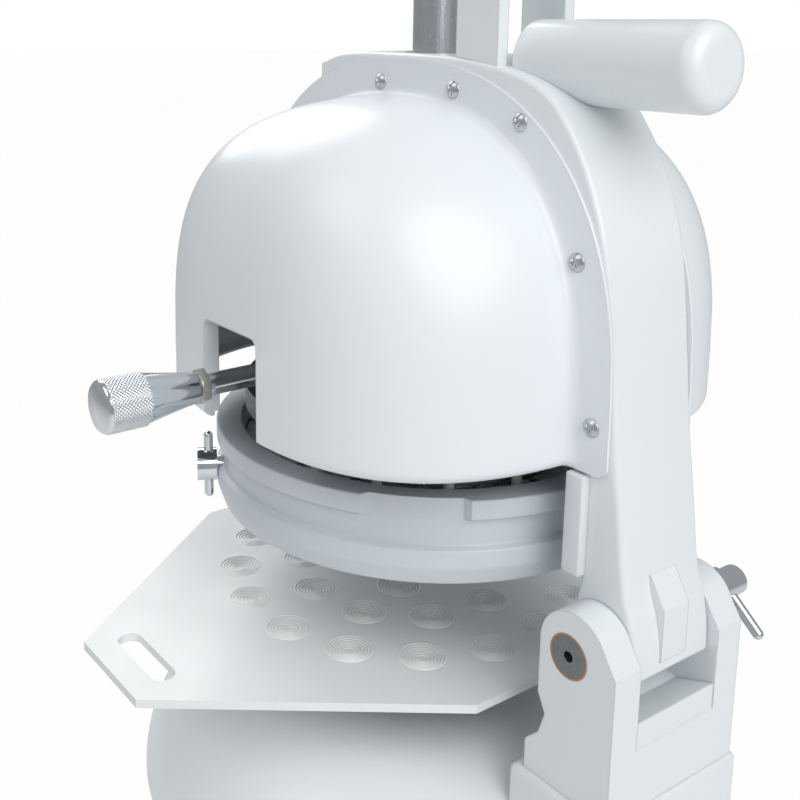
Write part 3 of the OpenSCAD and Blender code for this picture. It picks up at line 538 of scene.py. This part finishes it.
# %% [markdown]
# ## Round body
# Under the plate stands a cast drum. Its upper part is one large soft shoulder, a quarter of an ellipse turned round
# the ring's axis, and the crank turns in the well at its middle. A pedestal behind carries the hinge bracket. The
# bearing web closes the well, so it is cut to the well's width.

# %% Drum and pedestal
body_low, body_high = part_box("body_casting")
BODY_R, BODY_FOOT, BODY_RISE, BODY_FLAT, WELL_R = body_high.x, body_low.z, 106 * MM, 132 * MM, 110 * MM
FOOT_EDGE, WELL_EDGE = 2 * MM, 4 * MM


def drum_profile(steps=40):
    """Foot edge, shoulder r = flat + (R - flat) cos t, z = foot + rise sin t, then the flat top and the well's wall."""
    t = np.linspace(0, np.pi / 2, steps)
    r, z = BODY_FLAT + (BODY_R - BODY_FLAT) * np.cos(t), BODY_FOOT + FOOT_EDGE + BODY_RISE * np.sin(t)
    foot = [(WELL_R, BODY_FOOT), (BODY_R - FOOT_EDGE, BODY_FOOT)]
    well = [(WELL_R + WELL_EDGE, z[-1]), (WELL_R + WELL_EDGE / 4, z[-1] - WELL_EDGE / 4), (WELL_R, z[-1] - WELL_EDGE)]
    return np.concatenate([foot, np.column_stack([r, z]), well])


PEDESTAL_Y, PEDESTAL_H, PEDESTAL_SIDE, PEDESTAL_EDGE = (186, 276), 118, 6, 5
pedestal_x, pedestal_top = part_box("hinge_bracket")[1].x / MM + PEDESTAL_SIDE, (body_high.z - PLATE_TOP) / MM
pedestal = soft_box((-pedestal_x, PEDESTAL_Y[0], pedestal_top - PEDESTAL_H), (pedestal_x, PEDESTAL_Y[1], pedestal_top),
                    PEDESTAL_EDGE)
drum = worked("round_body", make_mesh("drum_blank", [(lathe(drum_profile(), 192), True, True)], 30),
              join=[make_mesh("pedestal", [(pedestal, False, True, "capped")])])
put("round_body", drum, gloss_white, "base", "painted_iron", "body_casting")

# %% Bearing web
WEB_Z, WEB_T, WEB_R = PLATE_TOP - 108 * MM, 10 * MM, WELL_R - 0.3 * MM
HUB_R, HUB_EXTRA, HUB_REACH = 42 * MM, 2 * MM, 9 * MM
hub_low, hub_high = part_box("shaft_bearings")
HUB_AT = [0, (hub_low.y + hub_high.y) / 2, (hub_low.z + hub_high.z) / 2]
hub_half = (hub_high.z - hub_low.z) / 2 + HUB_EXTRA
web = lathe([(0, WEB_Z), (WEB_R, WEB_Z), (WEB_R, WEB_Z + WEB_T), (0, WEB_Z + WEB_T)], 128)
hub = lathe([(0, -hub_half), (HUB_R, -hub_half), (HUB_R, hub_half), (0, hub_half)], 96) + HUB_AT
housing = worked("bearing_web", make_mesh("web_blank", [(web, False, True)]),
                 join=[make_mesh("web_hub", [(hub, False, True)])], cut=[seat("shaft_bearings", [0, 1, 2], HUB_REACH)])
put("bearing_web", housing, grey_paint, "base", "grey_iron", "bearing_housing")

# %% [markdown]
# ## Cover screws
# The covers are held by oval-head screws with a cross recess. A polar grid gives the domed head, and the recess is
# pressed in where a point lies inside one of two crossing bars: depth falls off smoothly at the bar's sides.

# %% Screw heads
SCREW_R, SCREW_H, SCREW_RIM = 6.8 * MM, 3.2 * MM, 0.5 * MM
BAR_HALF, BAR_REACH, BAR_DEPTH, BAR_SOFT, BAR_TURN = 0.9 * MM, 3.7 * MM, 2.2 * MM, 0.22 * MM, 0.4
SCREW_PLACES = [(220, 222), (200, 334), (142, 424), (72, 443), (-14, 445), (-182, 290)]


def screw_head(rings=26, turns=72):
    """Dome h(r) = H (1 - (r/R)^2.4) less a cross: the recess is a smooth step across each bar's width and end."""
    r = np.concatenate([np.linspace(0, 0.97, rings), [1.0, 1.0]]) * SCREW_R
    a = np.linspace(0, 2 * np.pi, turns, endpoint=False) + BAR_TURN
    x, y = r[:, None] * np.cos(a), r[:, None] * np.sin(a)
    h = SCREW_H * (1 - (r / SCREW_R) ** 2.4)[:, None] + SCREW_RIM + 0 * x
    u, v = x * np.cos(BAR_TURN) + y * np.sin(BAR_TURN), -x * np.sin(BAR_TURN) + y * np.cos(BAR_TURN)

    def inside(across, limit):
        """One inside the limit and none outside, with a soft step between."""
        return 1 / (1 + np.exp((np.abs(across) - limit) / BAR_SOFT))

    cross = np.maximum(inside(u, BAR_HALF) * inside(v, BAR_REACH), inside(v, BAR_HALF) * inside(u, BAR_REACH))
    h = h - BAR_DEPTH * cross
    h[-1] = 0
    return np.stack([h, x, y], -1)


head = screw_head()
heads = [(head * [s, 1, 1] + np.array([s * FLANGE_X, y * MM, PLATE_TOP + z * MM]), False, True)
         for s in (1, -1) for y, z in SCREW_PLACES]
put("cover_screw_heads", make_mesh("cover_screw_heads", heads, 50), stainless, "head", "stainless", "cover_screws")

# %% [markdown]
# ## Chamber ring
# The ring is a turned casting: an upper flange, a groove, a lower rim and a tapered foot, with soft edges. A lathe of
# its profile gives it. Over part of the turn the upper flange is milled back to the groove, with slanted ends.

# %% Turned ring with its notch
R_OUT, R_IN = ring_high.x, 161 * MM
RING_H, GROOVE, FLANGE_H = ring_high.z - ring_low.z, 6 * MM, 16 * MM
GROOVE_TOP, GROOVE_LOW, RIM_TOP = RING_H - FLANGE_H, 30 * MM, 28.5 * MM
FOOT_IN, FOOT_H, RING_EDGE, NOTCH = 5 * MM, 14.5 * MM, 1.6 * MM, GROOVE - 0.3 * MM
ring_corners = [(R_IN, RING_H * 0.5), (R_IN, 0), (R_OUT - FOOT_IN, 0), (R_OUT, FOOT_H), (R_OUT, RIM_TOP),
                (R_OUT - GROOVE, GROOVE_LOW), (R_OUT - GROOVE, GROOVE_TOP), (R_OUT, GROOVE_TOP + 0.5 * MM),
                (R_OUT, RING_H), (R_IN, RING_H), (R_IN, RING_H * 0.5)]


def notched_ring(start_deg=34.0, end_deg=59.5, slant_deg=1.6, turns=720):
    """The lathe with its radius held to R - depth n(a) above the groove: n rises over slant_deg inside both ends."""
    grid = lathe(rounded_profile(ring_corners, RING_EDGE), turns)
    a = np.degrees(np.linspace(0, 2 * np.pi, turns, endpoint=False))
    n = np.clip(np.minimum(a - start_deg, end_deg - a) / slant_deg, 0, 1)
    radius = np.linalg.norm(grid[..., :2], axis=-1)
    held = np.where(grid[..., 2] > GROOVE_TOP - 2 * MM, np.minimum(radius, R_OUT - NOTCH * n), radius)
    grid[..., :2] *= (held / radius)[..., None]
    return grid + [0, 0, ring_low.z]


put("turned_chamber_ring", make_mesh("turned_chamber_ring", [(notched_ring(), True, True)], 30), ring_white, "ring",
    "painted_aluminium", "chamber_ring")

# %% [markdown]
# ## Guide rods
# Two ground rods rise from the ring into the far cover. Their upper ends are cut a little lower than the CAD's, with a
# rounded edge, so that they stay inside the cover's softer crown.

# %% Guide rods
rod_low, rod_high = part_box("guide_rods")
ROD_R, ROD_X = (rod_high.x - rod_low.x) / 2, (rod_high.x + rod_low.x) / 2
ROD_TOP, ROD_EDGE = rod_high.z - 9 * MM, 1.5 * MM
rod = lathe(rounded_profile([(0, rod_low.z), (ROD_R, rod_low.z), (ROD_R, ROD_TOP), (0, ROD_TOP)], ROD_EDGE), 64)
rods = [(rod + [ROD_X, side * (rod_high.y - ROD_R), 0], False, True) for side in (1, -1)]
put("guide_rod_pair", make_mesh("guide_rod_pair", rods), stainless, "ring", "stainless", "guide_rods")

# %% [markdown]
# ## Knurled handle grip
# The chrome grip widens towards its end and its last part is diamond knurled. The lathe's radius is pressed in by two
# families of spiral lines, the larger of two ridged waves, over the knurled length only.

# %% Knurled grip
grip_low, grip_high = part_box("handle_grip")
grip_mid = (grip_low + grip_high) / 2
GRIP_L, GRIP_R = grip_high.x - grip_low.x, grip_high.y - grip_mid.y
# Shares of the grip's length and radius: where the taper and the knurl end, and how thick the taper starts.
TAPER_END, KNURL_FROM, KNURL_TO, NECK, TAPER_GAIN, TAPER_POWER = 0.56, 0.575, 0.955, 0.58, 0.36, 1.15
KNURL_ROWS, KNURL_DEPTH = 96, 0.8 * MM


def knurled_grip(turns=352, teeth=44):
    """Taper by a power curve, a rounded shoulder, then r = R - depth max(|sin|, |sin|) along two opposite spirals."""
    taper = np.linspace(0, TAPER_END, 40)
    taper_r = NECK + TAPER_GAIN * (taper / TAPER_END) ** TAPER_POWER
    knurl = np.linspace(KNURL_FROM, KNURL_TO, KNURL_ROWS)
    along = np.concatenate([[0, 0], taper + 0.012, [0.573], knurl, [0.958, 0.975, 1.0, 1.0]]) * GRIP_L
    r = np.concatenate([[0, 0.56], taper_r, [0.94], np.full(KNURL_ROWS, 1.0), [0.955, 0.95, 0.86, 0]]) * GRIP_R
    a = np.linspace(0, 2 * np.pi, turns, endpoint=False)
    lead = teeth / GRIP_R
    wave = np.maximum(np.abs(np.sin(0.5 * (teeth * a + lead * along[:, None]))),
                      np.abs(np.sin(0.5 * (teeth * a - lead * along[:, None]))))
    on = ((along > 0.574 * GRIP_L) & (along < 0.956 * GRIP_L))[:, None]
    radius = r[:, None] - np.where(on, KNURL_DEPTH * wave ** 2, 0)
    return np.stack([grip_low.x + along[:, None] + 0 * a, grip_mid.y + radius * np.cos(a),
                     grip_mid.z + radius * np.sin(a)], -1)


put("knurled_handle_grip", make_mesh("knurled_handle_grip", [(knurled_grip(), False, True)], 60), chrome, "die",
    "chrome", "handle_grip")

# %% [markdown]
# ## Turned ridges of the plate
# Each dimple is turned in steps, and the tool leaves a fine raised lip at the rim of every step. The dimples lie on
# three circles round the plate's middle. A lip is a half circle of 0.55 mm carried round the dimple's own axis.

# %% Dimple ridges
plate_low, plate_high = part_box("rounding_plate")
PLATE_MID = (plate_low + plate_high) / 2
DIMPLE_R, DIMPLE_DEPTH, DIMPLE_STEPS, LIP = 18.5 * MM, 2.5 * MM, 6, 0.55 * MM
# Each circle's radius in mm, its count of dimples and the first one's angle in degrees.
DIMPLE_CIRCLES = [(150, 16, 11.25), (92, 10, 29.7), (40, 4, 46)]


def dimple_middles():
    """Middles on three circles: x = r cos(start + turn k), y = r sin(start + turn k), for k of each circle's count."""
    angle = [np.radians(start + 360 / count * np.arange(count)) for _, count, start in DIMPLE_CIRCLES]
    return np.concatenate([np.column_stack([r * np.cos(a), r * np.sin(a)]) * MM
                           for (r, _, _), a in zip(DIMPLE_CIRCLES, angle)])


q = np.linspace(0, np.pi, 6)
step = np.arange(DIMPLE_STEPS)
rims = zip(DIMPLE_R * (1 - step / (DIMPLE_STEPS + 0.7)), -DIMPLE_DEPTH * step / DIMPLE_STEPS)
lips = [lathe(np.column_stack([r + LIP * np.cos(q), z + LIP * np.sin(q)]), 48) for r, z in rims]
ridges = [(lip + [PLATE_MID.x + x, PLATE_MID.y + y, PLATE_TOP], False, True)
          for x, y in dimple_middles() for lip in lips]
# The ridges' whiter finish is a painted highlight on each turned lip.
put("plate_ridges", make_mesh("plate_ridges", ridges, 60), hdpe_ridge_painted_highlight, "plate", "hdpe")

# %% [markdown]
# ## Floor, light and camera
# A pale floor and a white surround keep the machine on a plain studio ground. Large soft lamps shape the white paint
# without clipping it. The camera stands where the photograph was taken.

# %% Floor
FLOOR = 40.0
floor_corners = [(-FLOOR, -FLOOR, 0), (FLOOR, -FLOOR, 0), (FLOOR, FLOOR, 0), (-FLOOR, FLOOR, 0)]
floor_mesh = bpy.data.meshes.new("studio_floor")
floor_mesh.from_pydata(floor_corners, [], [(0, 1, 2, 3)])
floor = bpy.data.objects.new("studio_floor", floor_mesh)
bpy.context.collection.objects.link(floor)
floor_mat, tree, out, _ = new_material("pale_studio_floor")
matt = add(tree, "ShaderNodeBsdfPrincipled", Base_Color=linear("#f4f4f4"), Roughness=0.8)
white = add(tree, "ShaderNodeEmission", Color=(1, 1, 1, 1), Strength=1.0)
ray = add(tree, "ShaderNodeLightPath")
seen = add(tree, "ShaderNodeMath", {"operation": "MULTIPLY"}, _0=ray.outputs["Is Camera Ray"], _1=0.97)
mix = add(tree, "ShaderNodeMixShader", _0=seen.outputs[0], _1=matt.outputs[0], _2=white.outputs[0])
tree.links.new(mix.outputs[0], out.inputs["Surface"])
floor_mesh.materials.append(floor_mat)
print("floor half width m", FLOOR)

# %% Surround and lamps
world = bpy.data.worlds.new("white_studio")
bpy.context.scene.world = world
world.use_nodes = True
tree = world.node_tree
tree.nodes.clear()
ray = add(tree, "ShaderNodeLightPath")
bright = add(tree, "ShaderNodeMath", {"operation": "MAXIMUM"}, _0=ray.outputs["Is Camera Ray"],
             _1=ray.outputs["Is Transmission Ray"])
soft = add(tree, "ShaderNodeBackground", Color=linear("#f2f5f8"), Strength=0.42)
plain = add(tree, "ShaderNodeBackground", Color=(1, 1, 1, 1), Strength=1.0)
mix = add(tree, "ShaderNodeMixShader", _0=bright.outputs[0], _1=soft.outputs[0], _2=plain.outputs[0])
add(tree, "ShaderNodeOutputWorld", Surface=mix.outputs[0])


def lamp(name, place, target, size, watts):
    """Round area lamp at place, facing target: its axis is the line between them."""
    light = bpy.data.lights.new(name, "AREA")
    light.shape, light.size, light.energy = "DISK", size, watts
    holder = bpy.data.objects.new(name, light)
    aim = np.array(target) - np.array(place)
    holder.location = place
    holder.rotation_euler = (math.acos(-aim[2] / np.linalg.norm(aim)), 0, math.atan2(aim[1], aim[0]) - math.pi / 2)
    bpy.context.collection.objects.link(holder)
    return holder


HEAD = (0, 0, 1.1)
lamp("key_lamp", (0.3, 2.6, 2.9), HEAD, 3.0, 64)
lamp("side_lamp", (2.0, -0.2, 3.2), HEAD, 2.0, 13)
lamp("front_lamp", (-0.4, -2.4, 2.8), HEAD, 2.2, 34)
print("stage set")

# %% [markdown]
# The camera's place, turn and focal length come from the circles of dimples in the plate. The shift puts the lens axis
# where it met the picture, away from its middle.

# %% Camera
PHOTO, FOCAL_PX, CENTRE_PX = 800, 1099, (300, 250)
AZIMUTH, PITCH = 145.4, 11.9
camera = bpy.data.cameras.new("photo_camera")
camera.sensor_width = 36
camera.lens = FOCAL_PX * camera.sensor_width / PHOTO
camera.shift_x = (PHOTO / 2 - CENTRE_PX[0]) / PHOTO
camera.shift_y = (CENTRE_PX[1] - PHOTO / 2) / PHOTO
viewer = bpy.data.objects.new("photo_camera", camera)
viewer.location = (0.6103, 0.6905, PLATE_TOP + 0.4955)
viewer.rotation_euler = (math.radians(90 - PITCH), 0, math.radians(AZIMUTH))
bpy.context.collection.objects.link(viewer)
bpy.context.scene.camera = viewer
bpy.context.scene.view_settings.view_transform = "Standard"
print("camera lens mm", round(camera.lens, 2))
